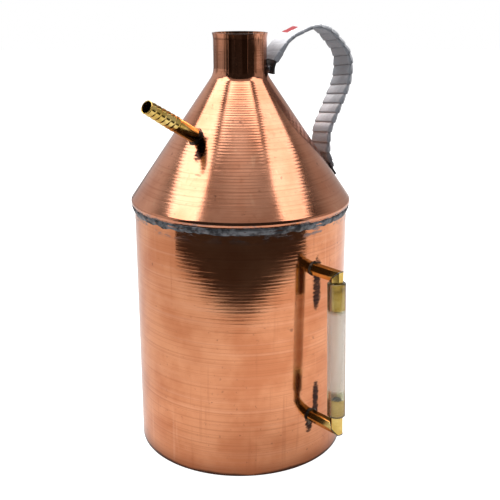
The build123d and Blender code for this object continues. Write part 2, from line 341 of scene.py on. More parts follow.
def copper(name, tones, stain_low, stain_high, shine, streak_places, upright_from=NOWHERE):
    """Spun copper: turned rings, cloudy tarnish, flecks, a foot with painted shade where it meets the floor,
    grey solder smears between two heights, dark upright streaks (the one below the nozzle a painted
    reflection of it), and upright polishing lines above a height, in metres."""
    material, tree, shader = new_material(name, (0.72, 0.30, 0.16), Metallic=1.0, Anisotropic=0.65)
    place = place_of(tree)
    around_axis = add(tree, "Tangent", direction_type="RADIAL", axis="Z")
    tree.links.new(around_axis.outputs["Tangent"], shader.inputs["Tangent"])
    height = part_of(tree, place, "Z")
    fine_rings = noise_of(tree, stretched(tree, place, (25, 25, 2600)), 1.0, 2)
    broad_rings = noise_of(tree, stretched(tree, place, (8, 8, 420)), 1.0, 3)
    clouds = noise_of(tree, place, 38.0, 4)
    flecks = noise_of(tree, place, 420.0, 3, 0.7)
    colour = blended(tree, ranged(tree, clouds, 0.35, 0.68), *tones)
    colour = blended(tree, ranged(tree, broad_rings, 0.50, 0.80, 0.0, 0.35), colour, (0.86, 0.43, 0.26))
    grooves = noise_of(tree, stretched(tree, place, (3, 3, 1000)), 1.0, 3, 0.6)
    colour = blended(tree, ranged(tree, grooves, 0.50, 0.66, 0.0, 0.34), colour, (0.46, 0.15, 0.070))
    drips = noise_of(tree, stretched(tree, place, (210, 210, 9)), 1.0, 4, 0.6)
    colour = blended(tree, ranged(tree, drips, 0.60, 0.74, 0.0, 0.35), colour, (0.90, 0.48, 0.30))
    colour = blended(tree, ranged(tree, drips, 0.30, 0.40, 0.28, 0.0), colour, (0.48, 0.16, 0.075))
    colour = blended(tree, ranged(tree, flecks, 0.64, 0.74, 0.0, 0.65), colour, (0.27, 0.10, 0.06))
    spots = noise_of(tree, place, 130.0, 2, 0.6)
    colour = blended(tree, ranged(tree, spots, 0.70, 0.76, 0.0, 0.6), colour, (0.22, 0.085, 0.055))
    lines = noise_of(tree, stretched(tree, place, (620, 620, 6)), 1.0, 3, 0.6)
    polished = times(tree, ranged(tree, height, upright_from, upright_from + 0.002),
                     ranged(tree, lines, 0.46, 0.60, 0.0, 0.8))
    colour = blended(tree, polished, colour, (0.26, 0.085, 0.035))
    # Painted shade at the foot: darker up to 8 mm, and near black in the lowest millimetre where the can
    # meets the floor.
    foot_shade_height = maths(tree, "SUBTRACT", height, times(tree, clouds, 0.0035))
    colour = blended(tree, ranged(tree, foot_shade_height, -0.0012, 0.0080, 0.60, 0.0), colour, (0.30, 0.095, 0.045))
    colour = blended(tree, ranged(tree, foot_shade_height, -0.0008, 0.0008, 0.95, 0.0), colour, (0.060, 0.026, 0.018))
    near = times(tree, ranged(tree, height, stain_low, stain_low + 0.004),
                 ranged(tree, height, stain_high, stain_high + 0.002, 1.0, 0.0))
    smear = noise_of(tree, stretched(tree, place, (90, 90, 260)), 1.0, 4, 0.6)
    stain = times(tree, near, ranged(tree, smear, 0.50, 0.60))
    colour = blended(tree, times(tree, stain, 0.8), colour, (0.20, 0.20, 0.21))
    streaks = ranged(tree, fine_rings, 0.35, 0.65, 0.90, 1.0)
    # Dark upright streaks; the one below the nozzle is a painted reflection.
    for streak_place in streak_places:
        streaked = times(tree, upright_streak(tree, place, *streak_place), streaks)
        colour = blended(tree, streaked, colour, (0.010, 0.005, 0.006))
    tree.links.new(colour, shader.inputs["Base Color"])
    rough = ranged(tree, clouds, 0.3, 0.8, shine, shine + 0.07, False)
    rough = plus(tree, rough, times(tree, stain, 0.2))
    tree.links.new(rough, shader.inputs["Roughness"])
    relief = plus(tree, fine_rings, times(tree, flecks, 0.25))
    relief = plus(tree, relief, times(tree, polished, 5.0))
    bumped(tree, shader, relief, 0.00002, 0.8)
    return material


def brass(name, wall_facing_side=None, bore=None):
    """Bright brass with cloudy tarnish. A wall-facing side is a direction whose faces are painted near black
    as a dark reflection of the wall;
    a bore, given by a point, an axis, a length and a radius, is painted black inside as its shade."""
    material, tree, shader = new_material(name, (0.72, 0.48, 0.12), Metallic=1.0)
    place = place_of(tree)
    clouds = noise_of(tree, place, 160.0, 4)
    grain = noise_of(tree, place, 1400.0, 3, 0.7)
    colour = blended(tree, ranged(tree, clouds, 0.35, 0.7), (0.66, 0.43, 0.10), (0.84, 0.62, 0.22))
    colour = blended(tree, ranged(tree, clouds, 0.30, 0.40, 0.5, 0.0), colour, (0.30, 0.17, 0.05))
    if wall_facing_side:
        # Painted reflection: faces turned towards the wall are darkened as if they mirror it.
        facing = along(tree, add(tree, "TexCoord").outputs["Normal"], wall_facing_side)
        colour = blended(tree, ranged(tree, facing, 0.25, 0.6, 0.0, 0.92), colour, (0.05, 0.025, 0.012))
    if bore:
        point, axis, length, radius = bore
        offset = away_from(tree, place, point)
        from_middle = size_of(tree, maths(tree, "SUBTRACT", along(tree, offset, axis), length / 2))
        aside = add(tree, "VectorMath", {1: axis}, {0: offset}, operation="CROSS_PRODUCT").outputs["Vector"]
        away = add(tree, "VectorMath", links={0: aside}, operation="LENGTH").outputs["Value"]
        inside = times(tree, ranged(tree, away, radius + 0.00005, radius + 0.0001, 1.0, 0.0),
                       ranged(tree, from_middle, length / 2 + 0.001, length / 2 + 0.002, 1.0, 0.0))
        # Painted shade: the waterway is near black inside.
        colour = blended(tree, inside, colour, (0.004, 0.003, 0.002))
    tree.links.new(colour, shader.inputs["Base Color"])
    tree.links.new(ranged(tree, clouds, 0.3, 0.7, 0.20, 0.09, False), shader.inputs["Roughness"])
    bumped(tree, shader, grain, 0.00001, 0.4)
    return material


def solder(name, light, dark, rough):
    """Lumpy solder, mottled from light to dark."""
    material, tree, shader = new_material(name, light, Metallic=0.85)
    place = place_of(tree)
    clouds = noise_of(tree, place, 220.0, 5, 0.65)
    grain = noise_of(tree, place, 1500.0, 3)
    colour = blended(tree, ranged(tree, clouds, 0.38, 0.62), dark, light)
    tree.links.new(colour, shader.inputs["Base Color"])
    tree.links.new(ranged(tree, clouds, 0.3, 0.7, rough + 0.2, rough, False), shader.inputs["Roughness"])
    bumped(tree, shader, plus(tree, clouds, times(tree, grain, 0.3)), 0.0002, 0.6)
    return material


def black_steel():
    """Blackened steel, worn grey in places."""
    material, tree, shader = new_material("black_steel", (0.018, 0.017, 0.018), Roughness=0.42)
    place = place_of(tree)
    wear = noise_of(tree, place, 300.0, 5, 0.7)
    worn = ranged(tree, wear, 0.60, 0.72, 0.0, 0.7)
    colour = blended(tree, worn, (0.016, 0.015, 0.016), (0.12, 0.11, 0.10))
    tree.links.new(colour, shader.inputs["Base Color"])
    tree.links.new(ranged(tree, wear, 0.3, 0.7, 0.30, 0.5, False), shader.inputs["Roughness"])
    bumped(tree, shader, wear, 0.00008, 0.4)
    return material


def milky_tube():
    """Translucent tubing: clear and yellowed where the spigots sit in it, milky between them."""
    material, tree, shader = new_material("milky_tube", (0.92, 0.88, 0.80), IOR=1.6)
    place = place_of(tree)
    height = part_of(tree, place, "Z")
    above = ranged(tree, height, TUBE_CLEAR_BELOW * MM, (TUBE_CLEAR_BELOW + 2.5) * MM)
    below = ranged(tree, height, (TUBE_CLEAR_ABOVE - 2.5) * MM, TUBE_CLEAR_ABOVE * MM, 1.0, 0.0)
    haze = noise_of(tree, stretched(tree, place, (1, 1, 0.3)), 160.0, 4)
    milk = times(tree, above, below)
    pale = blended(tree, ranged(tree, haze, 0.3, 0.7), (0.96, 0.86, 0.75), (1.0, 0.94, 0.86))
    colour = blended(tree, milk, (0.54, 0.52, 0.35), pale)
    tree.links.new(colour, shader.inputs["Base Color"])
    tree.links.new(ranged(tree, milk, 0, 1, 0.95, 0.72, False), shader.inputs["Transmission Weight"])
    rough = plus(tree, ranged(tree, milk, 0, 1, 0.08, 0.20, False), times(tree, haze, 0.06))
    tree.links.new(rough, shader.inputs["Roughness"])
    bumped(tree, shader, haze, 0.00002, 0.2)
    return material


def cloth_tape(name, light, shade_colour, dark, mark):
    """Plain-woven tape: two sets of fine threads, painted shade on faces turned inwards, sideways and down,
    painted shade in the creases between its turns, and one short red mark, given by its middle, direction and
    half size in metres."""
    material, tree, shader = new_material(name, light, Roughness=0.9, Sheen_Weight=0.2)
    place = place_of(tree)
    thread = {"Scale": 520.0, "Distortion": 1.2, "Detail": 1.0}
    warp, weft = (add(tree, "TexWave", thread, {"Vector": place}, wave_type="BANDS",
                      bands_direction=way).outputs["Fac"] for way in "YZ")
    weave = times(tree, warp, weft)
    clouds = noise_of(tree, place, 110.0, 5, 0.65)
    facing = add(tree, "SeparateXYZ", links={"Vector": add(tree, "TexCoord").outputs["Normal"]})
    side_facing = size_of(tree, facing.outputs["Y"])
    # Painted shade: faces turned inwards, sideways and down blend towards the shade colour.
    inner = times(tree, facing.outputs["X"], -0.65)
    side = times(tree, side_facing, 0.45)
    under = times(tree, facing.outputs["Z"], -0.60)
    facing_shade = plus(tree, plus(tree, inner, side), under)
    facing_shade = plus(tree, facing_shade, times(tree, clouds, 0.3))
    worn = tuple(0.85 * c for c in light)
    colour = blended(tree, ranged(tree, clouds, 0.35, 0.70), light, worn)
    colour = blended(tree, ranged(tree, facing_shade, 0.25, 0.65), colour, shade_colour)
    # Painted shade on the side faces of the wrap.
    colour = blended(tree, ranged(tree, side_facing, 0.45, 0.80, 0.0, 0.40), colour, dark)
    # Darker towards the lower end of the wrap.
    ragged_height = plus(tree, part_of(tree, place, "Z"), times(tree, clouds, 0.008))
    colour = blended(tree, ranged(tree, ragged_height, 0.156, 0.178, 0.80, 0.0), colour, dark)
    # Painted shadow on the start of the wrap beside the neck.
    shade_by_neck = times(tree, ranged(tree, ragged_height, 0.219, 0.2265, 1.0, 0.0),
                        ranged(tree, part_of(tree, place, "X"), 0.024, 0.032, 0.9, 0.0))
    colour = blended(tree, shade_by_neck, colour, (0.22, 0.23, 0.26))
    centre, direction, half_length, half_width = mark
    from_centre = away_from(tree, place, centre)
    run = size_of(tree, along(tree, from_centre, direction))
    aside = size_of(tree, part_of(tree, from_centre, "Y"))
    outward = along(tree, from_centre, (-direction[2], 0, direction[0]))
    red = times(tree, ranged(tree, run, half_length - 0.0004, half_length, 1.0, 0.0),
                ranged(tree, aside, half_width - 0.0004, half_width, 1.0, 0.0))
    red = times(tree, red, ranged(tree, outward, -0.0020, -0.0015))
    red = times(tree, red, ranged(tree, facing.outputs["Z"], 0.1, 0.3))
    colour = blended(tree, red, colour, (0.40, 0.004, 0.010))
    colour = blended(tree, ranged(tree, weave, 0.0, 0.4, 0.22, 0.0), colour, dark)
    # Painted shade in the creases between turns, found by ambient occlusion.
    hollow = add(tree, "AmbientOcclusion", {"Distance": 0.0022}, only_local=True).outputs["AO"]
    crease = times(tree, ranged(tree, hollow, 0.35, 0.95, 0.95, 0.0),
                   ranged(tree, facing_shade, 0.20, 0.50, 0.18, 1.0))
    colour = blended(tree, crease, colour, dark)
    tree.links.new(colour, shader.inputs["Base Color"])
    fuzz = noise_of(tree, place, 900.0, 3)
    bumped(tree, shader, plus(tree, weave, times(tree, fuzz, 0.6)), 0.00012, 0.7)
    return material


# Dark upright streaks: azimuth, height of the middle, half width and half height, in millimetres.
# The streak below the nozzle is a painted reflection of the nozzle in the cone.
NOZZLE_REFLECTION_STREAK = [(math.radians(-142), 170.5, 2.6, 6.0)]
# Dark upright streaks on the wall over and under the gauge arms.
ARM_STREAKS = [(math.radians(-67.3), 103.0, 2.9, 14.0), (math.radians(-66.3), 37.0, 2.3, 11.0),
               (math.radians(-71.0), 25.5, 2.4, 6.5)]
COPPER_BODY = copper("copper_body", ((0.64, 0.232, 0.106), (0.80, 0.345, 0.175)), 0.1270, 0.1350, 0.065,
                     ARM_STREAKS)
COPPER_CONE = copper("copper_cone", ((0.66, 0.255, 0.140), (0.80, 0.360, 0.220)), 0.1330, 0.1370, 0.085,
                     NOZZLE_REFLECTION_STREAK, 0.2045)
BRASS = brass("brass")
SOLDER = solder("solder", (0.17, 0.175, 0.19), (0.040, 0.040, 0.045), 0.40)
DARK_SOLDER = solder("dark_solder", (0.16, 0.12, 0.09), (0.020, 0.013, 0.010), 0.40)
BLACK_STEEL = black_steel()
MILKY = milky_tube()
# The red mark's middle, direction, half length and half width, in metres.
RED_MARK = ((0.0300, 0.0048, 0.2267), (0.92, 0, 0.39), 0.0038, 0.0044)
# The second colour is painted shade; the third darkens the side faces, the lower end, the weave and the
# creases.
TAPE = cloth_tape("cloth_tape", (0.90, 0.91, 0.95), (0.33, 0.36, 0.40), (0.09, 0.09, 0.105), RED_MARK)


# ---- copper work ----

def ring_marks(distance, depth, pitch):
    """Depth of the spinning tool's marks at distances along a surface, with their pitch at each."""
    drift = 0.9 * np.sin(distance * 0.31) + 0.6 * np.sin(distance * 0.127 + 1.3)
    phase = 2 * math.pi * np.cumsum(np.gradient(distance) / pitch) + drift
    wave = 0.75 * (0.5 - 0.5 * np.cos(phase)) ** 1.6 + 0.12 * (1 - np.cos(2 * phase + 1.0))
    uneven = 0.75 + 0.25 * np.sin(distance * 0.83 + 0.4) * np.sin(distance * 0.19)
    return -depth * wave * uneven


def body_wall():
    """The cylinder, a little out of true, with a rounded foot and faint rings."""
    bend = 0.6
    step = 0.3
    height = np.linspace(bend, BODY_TOP, int((BODY_TOP - bend) / step))
    depth = 0.006 + 0.007 * smooth_step(height, 25, 85)
    outer = np.stack([BODY_R + ring_marks(height, depth, np.full(len(height), RING_PITCH)), height], 1)
    corner = np.linspace(-math.pi / 2, 0, 5)[:-1]
    foot = np.stack([BODY_R - bend + bend * np.cos(corner), bend + bend * np.sin(corner)], 1)
    inner_height = np.linspace(BODY_TOP, 0, 24)
    inner = np.stack([np.full_like(inner_height, BODY_R - SHEET), inner_height], 1)

    def out_of_true(theta, profile):
        z = profile[:, 1:2]
        return 0.05 * np.sin(2 * theta + z / 40) + 0.02 * np.sin(5 * theta - z / 25) - 0.02

    rings = around(np.concatenate([foot, outer, inner]), TURNED_POINTS, out_of_true)
    stand_for(ring_piece("cylinder_wall", rings, COPPER_BODY, True), "copper_body", "body_shell")


def cone_radius(height):
    return CONE_HEAD[0] + (CONE_HEAD[1] - height) / math.tan(CONE_SLOPE)


def cone_and_neck():
    """Skirt, rounded rim, ringed cone, and neck with a dented mouth, in one profile."""
    step, foot_fillet, lip, flare = 0.24, 11.0, 2.5, 0.5
    crease = -math.acos((SKIRT_R - RIM_MID[0]) / RIM_R)
    sweep = np.linspace(crease, math.pi / 2 - CONE_SLOPE, 20)
    rim = RIM_MID + RIM_R * np.stack([np.cos(sweep), np.sin(sweep)], 1)
    skirt = np.array([[SKIRT_R, SKIRT_BOTTOM], rim[0]])
    neck_foot = CONE_HEAD[1] + (CONE_HEAD[0] - NECK_R) * math.tan(CONE_SLOPE)
    rise = rounded_path(
        [CONE_FOOT, (NECK_R, neck_foot), (NECK_R, NECK_TOP - lip), (NECK_R + flare, NECK_TOP)],
        [foot_fillet, 8.0], step)
    distance = np.arange(len(rise)) * step
    on_neck = smooth_step(distance, 73, 77)
    pitch = RING_PITCH - 0.5 * smooth_step(distance, 30, 62)
    depth = 0.011 + 0.008 * smooth_step(distance, 18, 40) + 0.005 * smooth_step(distance, 45, 60)
    depth = depth * smooth_step(distance, 1, 6) * (1 - 0.93 * on_neck)
    rise = rise + path_normals(rise) * -ring_marks(distance, depth, pitch)[:, None]
    inside = rounded_path(
        [(NECK_BORE + flare, NECK_TOP), (NECK_BORE, NECK_TOP - lip), (NECK_BORE, neck_foot),
         CONE_FOOT - [1.2, 0.0], (SKIRT_R - SHEET, 137.0), (SKIRT_R - SHEET, SKIRT_BOTTOM)],
        [6.0, 5.0, 0.8, 0.8], 1.5)
    profile = np.concatenate([even(skirt, 0.5)[:-1], rim[:-1], rise, inside])

    def dented_mouth(theta, profile):
        z = profile[:, 1:2]
        near = smooth_step(z, NECK_TOP - 9, NECK_TOP)
        away = (theta - math.radians(285) + math.pi) % (2 * math.pi) - math.pi
        return -0.45 * near * np.exp(-(away / 0.35) ** 2) + 0.10 * near * np.sin(3 * theta)

    rings = around(profile, TURNED_POINTS, dented_mouth)
    stand_for(ring_piece("cone_and_neck", rings, COPPER_CONE, True), "copper_cone", "cone_top")


def seam(name, node, outline, wander, seed):
    """A ring of solder with a lumpy surface and a wandering edge."""
    rings = around(np.array(outline), SEAM_POINTS)
    out = rings[..., :2] / np.linalg.norm(rings[..., :2], axis=-1, keepdims=True)
    bulge = wander * (0.7 * lumps(rings, 5.0, seed) + 0.5 * lumps(rings, 1.6, seed + 9))
    rings[..., :2] += out * bulge[..., None]
    low = rings[..., 2].min()
    level = np.concatenate([out[0], np.zeros((SEAM_POINTS, 1))], 1) * 57
    dips = lumps(level, 4.0, seed + 3)
    share = (rings[..., 2].max() - rings[..., 2]) / (rings[..., 2].max() - low)
    rings[..., 2] += share * dips * wander * 2.6
    stand_for(ring_piece(name, rings, SOLDER, True), "solder", node)


def solder_seams():
    top = SKIRT_BOTTOM
    shoulder = [(57.3, top - 1.7), (57.60, top - 1.8), (57.80, top - 1.3), (58.1, top - 0.8),
                (58.52, top - 0.2), (58.76, top + 0.7), (58.80, top + 1.5), (58.50, top + 1.9), (57.3, top)]
    seam("shoulder_seam", "shoulder_solder", shoulder, 0.32, 4.0)
    inner = BODY_R - SHEET
    bottom = [(inner - 1.1, 0.35), (inner + 0.05, 0.3), (inner + 0.05, 1.3), (inner - 0.25, 1.3)]
    seam("bottom_seam", "bottom_solder", bottom, 0.05, 8.0)


# ---- steam nozzle ----

def nozzle_axes():
    centre, axis, dims = mount("nozzle")
    side = np.cross([0, 0, 1], axis)
    side /= np.linalg.norm(side)
    return centre, side, np.cross(axis, side), axis, dims


def hose_nozzle():
    centre, u, v, w, dims = nozzle_axes()
    crest, pitch, root, shank, bore, barbs, tail = dims["r_mm"], 3.4, 3.2, 3.4, 2.95, 6, 19.5
    thicker = 0.42           # the plain end's extra radius over the mouth's
    first = -dims["length_mm"] / 2
    corners = [(shank, first - tail), (shank, first - 0.35)]
    radii = [0.15]
    for number in range(barbs):
        start = first + number * pitch
        corners += [(crest - 0.02, start), (crest - 0.02, start + 0.8), (root, start + pitch - 0.3)]
        radii += [0.22, 0.6, 0.25]
    mouth = first + barbs * pitch + 0.6
    corners += [(crest - 0.15, mouth - 0.6), (crest - 0.15, mouth), (bore, mouth), (bore, first - tail)]
    radii += [0.15, 0.2, 0.2]
    profile = rounded_path(corners, radii, 0.16)
    outside = profile[:, 0] > (bore + root) / 2
    profile[:, 0] += outside * thicker * smooth_step(-profile[:, 1], -mouth, -first)
    rings = placed(around(profile, BAR_POINTS), centre, u, v, w)
    stand_for(ring_piece("hose_nozzle", rings, BRASS, True, 50), "brass", "steam_nozzle")


def collar(name, node, origin, u, v, w, foot, head, height, depth, seed, drips=()):
    """Solder that climbs from a wall to a bar: u and v lie along the wall, w along the bar. foot and
    head are its radii at the wall and on the bar, and drips are each an angle, a length and a width."""
    climb = np.linspace(0, 1, 14)
    reach = head + (foot - head) * (1 - climb) ** 2.2
    profile = np.stack([np.r_[reach, head - 1.0, head - 1.0],
                        np.r_[-depth + (height + depth) * climb ** 1.4, height, -depth]], 1)
    rings = around(profile, COLLAR_POINTS)
    theta = angles(COLLAR_POINTS)[None, :]
    low = (1 - smooth_step(rings[..., 2], -depth, height)) * (rings[..., 2] < height)
    spread = 1 + low * 0.22 * lumps(np.stack([np.cos(theta), np.sin(theta), theta * 0], -1), 0.8, seed)
    for where, length, width in drips:
        away = (theta - where + math.pi) % (2 * math.pi) - math.pi
        spread = spread + low ** 2 * length * np.exp(-(away / width) ** 2)
    rings[..., :2] *= spread[..., None]
    rings[..., :2] *= (1 + 0.06 * lumps(rings, 1.3, seed + 5))[..., None]
    piece = ring_piece(name, placed(rings, origin, u, v, w), DARK_SOLDER, True, 60)
    stand_for(piece, "dark_solder", node)


def nozzle_collar():
    centre, u, v, w, dims = nozzle_axes()
    base = centre - w * (dims["length_mm"] / 2 + 16.5)
    drip = [(math.radians(262), 0.75, 0.55)]
    collar("nozzle_collar", "nozzle_solder", base, u, v, w, 5.2, 3.85, 2.4, 1.3, 2.0, drip)


# ---- water gauge ----

OUT = np.array([math.cos(GAUGE_AZIMUTH), math.sin(GAUGE_AZIMUTH), 0])
ACROSS = np.array([-math.sin(GAUGE_AZIMUTH), math.cos(GAUGE_AZIMUTH), 0])
UP = np.array([0, 0, 1.0])
UPPER_Z = (box_mm("upper_gauge_arm")[0][2] + box_mm("upper_gauge_arm")[1][2]) / 2
LOWER_Z = (box_mm("lower_gauge_arm")[0][2] + box_mm("lower_gauge_arm")[1][2]) / 2
UPPER_ELBOW = OUT * UPPER_REACH + UP * UPPER_Z
LOWER_ELBOW = OUT * LOWER_REACH + UP * LOWER_Z
GAUGE_LENGTH = np.linalg.norm(LOWER_ELBOW - UPPER_ELBOW)
DOWN = (LOWER_ELBOW - UPPER_ELBOW) / GAUGE_LENGTH
# Faces turned towards the body wall get a painted dark reflection, and the waterway gets painted shade.
GAUGE_BRASS = brass("gauge_brass", tuple(-OUT), (
    tuple(LOWER_ELBOW * MM), tuple(-DOWN), GAUGE_LENGTH * MM, WATERWAY_R * MM))


def hexagon(count, shrink=0.0):
    """Distances from the axis to a hexagonal bar with softened corners, at even angles."""
    turn = angles(count) % (math.pi / 3) - math.pi / 6
    flats = (HEX_FLATS / 2 - shrink) / np.cos(turn)
    return np.minimum(flats, HEX_FLATS / 2 / math.cos(math.pi / 6) - 0.16 - shrink)


def section(radii, where, origin, v, w, plane=None):
    """One ring across a bar. where is its place on the bar's axis w; a plane, given as a point and
    a normal, slants the ring, as in a mitre."""
    theta = angles(len(radii))
    offset = radii[:, None] * (np.cos(theta)[:, None] * ACROSS + np.sin(theta)[:, None] * v)
    ring = origin + offset + w * where
    if plane is None:
        return ring
    point, normal = plane
    return ring + w * (((point - ring) @ normal) / (w @ normal))[:, None]


def mitre_normal(leg):
    return (OUT + leg) / np.linalg.norm(OUT + leg)


def bar_outlines():
    """Radii round a bar: the full hexagon, the hexagon with its edge eased, and the waterway."""
    return hexagon(BAR_POINTS), hexagon(BAR_POINTS, 0.18), np.full(BAR_POINTS, WATERWAY_R)


def gauge_arm(name, node, elbow, leg):
    normal = mitre_normal(leg)
    origin = UP * elbow[2]
    full, eased, bore = bar_outlines()
    face = (elbow - normal * 0.1, normal)
    before = (elbow - normal * 0.34, normal)
    rings = [section(full, BODY_R - 0.7, origin, UP, OUT), section(full, BODY_R + 4, origin, UP, OUT),
             section(full, 0, origin, UP, OUT, before), section(eased, 0, origin, UP, OUT, face),
             section(bore, 0, origin, UP, OUT, face), section(bore, BODY_R - 0.7, origin, UP, OUT)]
    stand_for(ring_piece(name, np.array(rings), GAUGE_BRASS, True, 25), "brass", node)


def gauge_spigot(name, node, elbow, leg, hex_length, length):
    """A mitred leg with a turned spigot. A long leg has an eased edge, a short one ends in the mitre."""
    normal = mitre_normal(leg)
    full, eased, bore = bar_outlines()
    v = np.cross(leg, ACROSS)
    face = (elbow + normal * 0.1, normal)
    after = (elbow + normal * 0.34, normal)
    turned = np.full(BAR_POINTS, SPIGOT_R)
    rings = [section(bore, 0, elbow, v, leg, face), section(eased, 0, elbow, v, leg, face),
             section(full, 0, elbow, v, leg, after)]
    if hex_length > HEX_FLATS / 2:
        start = hex_length
        rings += [section(full, start - 0.25, elbow, v, leg), section(eased, start, elbow, v, leg)]
    else:
        start = hex_length + 0.6
        rings += [section(eased, start, elbow, v, leg)]
    rings += [section(turned, start, elbow, v, leg), section(turned, length - 0.4, elbow, v, leg),
              section(turned - 0.3, length, elbow, v, leg), section(bore, length, elbow, v, leg)]
    stand_for(ring_piece(name, np.array(rings), GAUGE_BRASS, True, 25), "brass", node)


def elbow_bead(name, node, elbow, leg, seed):
    """A thin bead of solder along a mitre."""
    normal = mitre_normal(leg)
    line = section(hexagon(COLLAR_POINTS), 0, UP * elbow[2], UP, OUT, (elbow, normal))
    centre = line.mean(0)
    out = (line - centre) / np.linalg.norm(line - centre, axis=1)[:, None]
    thick = 0.20 + 0.07 * lumps(line, 1.2, seed)[:, None]
    rings = [line + (out * (math.cos(a) - 0.3) + normal * math.sin(a)) * thick for a in angles(8)]
    stand_for(ring_piece(name, np.array(rings), SOLDER, True, 60), "solder", node)


def water_gauge():
    upper_leg = HEX_FLATS / 2
    gauge_arm("upper_arm", "upper_gauge_arm", UPPER_ELBOW, DOWN)
    gauge_arm("lower_arm", "lower_gauge_arm", LOWER_ELBOW, -DOWN)
    gauge_spigot("upper_spigot", "upper_gauge_spigot", UPPER_ELBOW, DOWN, upper_leg, UPPER_SPIGOT_LENGTH)
    gauge_spigot("lower_spigot", "lower_gauge_spigot", LOWER_ELBOW, -DOWN, LOWER_LEG, LOWER_SPIGOT_LENGTH)
    elbow_bead("upper_elbow_bead", "upper_elbow_solder", UPPER_ELBOW, DOWN, 3.0)
    elbow_bead("lower_elbow_bead", "lower_elbow_solder", LOWER_ELBOW, -DOWN, 6.0)
    drip = [(math.radians(262), 0.75, 0.22)]
    for end, height, seed, drips in (("upper", UPPER_Z, 11.0, ()), ("lower", LOWER_Z, 17.0, drip)):
        collar(f"{end}_arm_collar", f"{end}_arm_solder", OUT * BODY_R + UP * height, ACROSS, UP, OUT,
               4.7, 3.5, 1.0, 0.5, seed, drips)


def sight_tube():
    start = LOWER_LEG + 0.2
    length = GAUGE_LENGTH - start - HEX_FLATS / 2 - 0.25
    place = np.linspace(0, length, 90)
    outside = np.stack([np.full_like(place, TUBE_R), place], 1)
    rim = 0.35
    outside[0] = (outside[0][0] - rim, 0)
    outside[1] = (outside[2][0], rim)
    outside[-1] = (outside[-1][0] - rim, length)
    outside[-2] = (outside[-3][0], length - rim)
    inside = np.stack([np.full_like(place, TUBE_BORE_R), place], 1)[::-1]
    rings = around(np.concatenate([outside, inside]), BAR_POINTS)
    v = np.cross(-DOWN, ACROSS)
    rings = placed(rings, LOWER_ELBOW - DOWN * start, ACROSS, v, -DOWN)
    stand_for(ring_piece("sight_tube", rings, MILKY, True, 50), "clear_tube", "gauge_tube")


# ---- handle ----

STRAP_ON_NECK = NECK_R + 0.35 + STRAP_THICK / 2
BENDS = [((24.1, 222.6), 18), ((44.0, 231.0), 14), ((59.9, 213.3), 15),
         ((59.8, 199.4), 30), ((47.9, 172.6), 20), ((47.6, 160.5), 12)]
NECK_BEND = (STRAP_ON_NECK, 208.9)


def beside_cone(height):
    away = STRAP_THICK / 2 + 0.05
    return (cone_radius(height) + away * math.sin(CONE_SLOPE), height + away * math.cos(CONE_SLOPE))


def rounded_bar(width, thick, corner, count):
    """Outline of a flat bar with rounded corners: across, through, and its outward normals."""
    half_w, half_t = width / 2 - corner, thick / 2 - corner
    outline, normals = [], []
    for right, front, start in ((1, 1, 0), (-1, 1, 90), (-1, -1, 180), (1, -1, 270)):
        cx, cy = right * half_w, front * half_t
        for turn in np.radians(np.linspace(start, start + 90, 5)):
            outline.append((cx + corner * math.cos(turn), cy + corner * math.sin(turn)))
            normals.append((math.cos(turn), math.sin(turn)))
    both = np.concatenate([outline, normals], 1)
    length = np.linalg.norm(np.diff(both[:, :2], axis=0), axis=1).sum()
    both = even(np.concatenate([both, both[:1]]), length / count)
    return both[:-1, :2], both[:-1, 2:]


def along_handle(path, across, through):
    """Points beside a path in the XZ plane: across goes along Y, through towards the body."""
    inward = -path_normals(path)
    x = path[:, :1] + inward[:, :1] * through
    z = path[:, 1:] + inward[:, 1:] * through
    y = np.broadcast_to(across, x.shape)
    hug = smooth_step(-z, -160.0, -152.0) * (x > 30)
    x = x - hug * (x - np.sqrt(np.maximum(x ** 2 - y ** 2, 1)))
    return np.stack([x, y, z], -1)


def strap():
    corners = [(STRAP_ON_NECK, 204.6), NECK_BEND] + [c for c, _ in BENDS]
    corners += [beside_cone(151.0), beside_cone(148.4)]
    radii = [8] + [r for _, r in BENDS] + [8]
    path = rounded_path(corners, radii, 0.8)
    outline, _ = rounded_bar(STRAP_WIDTH, STRAP_THICK, 0.4, 64)
    rings = along_handle(path, outline[None, :, 0], outline[None, :, 1])
    stand_for(ring_piece("steel_strap", rings, BLACK_STEEL), "black_steel", "handle_strap")


def part_way(start, end, distance):
    """The point at a distance from start towards end."""
    start, end = np.array(start), np.array(end)
    return start + (end - start) * distance / np.linalg.norm(end - start)


